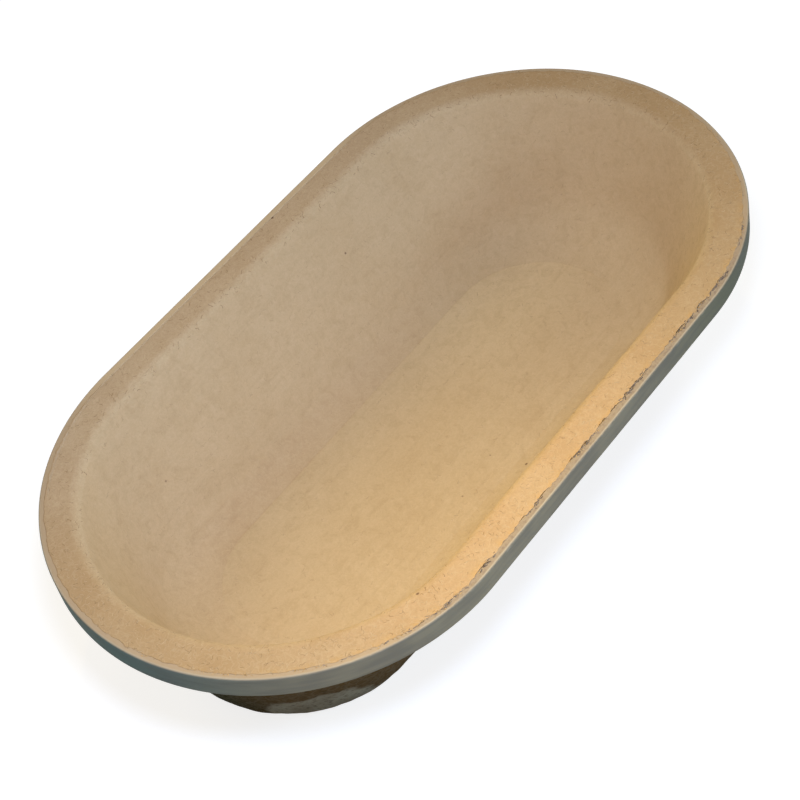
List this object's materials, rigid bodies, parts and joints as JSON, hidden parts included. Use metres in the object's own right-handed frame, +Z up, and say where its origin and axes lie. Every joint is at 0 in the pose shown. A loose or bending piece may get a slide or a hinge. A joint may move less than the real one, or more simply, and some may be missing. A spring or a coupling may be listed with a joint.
{
  "type": "proofing basket",
  "caption": "Long proofing basket with round ends for bread dough: moulded wood-pulp shell with a fine wood-fibre lining, a level rim closed by a hoop, and a flat base.",
  "frame": {"origin": "middle of the flat base's underside, where the basket stands", "axes": "+X along the basket, +Y across it, +Z up out of its mouth"},
  "size_m": [0.32, 0.18, 0.07],
  "materials": {
    "moulded_pulp": "matte pressed wood pulp, grey-brown",
    "wood_fibre": "matte fine wood fibre, tan, slightly fuzzy",
    "rim_strip": "smooth sawn grey edge with a pale top"
  },
  "bodies": {
    "root": {"outer_shell": "moulded_pulp", "fibre_lining": "wood_fibre", "rim_hoop": "rim_strip"}
  },
  "joints": []
}
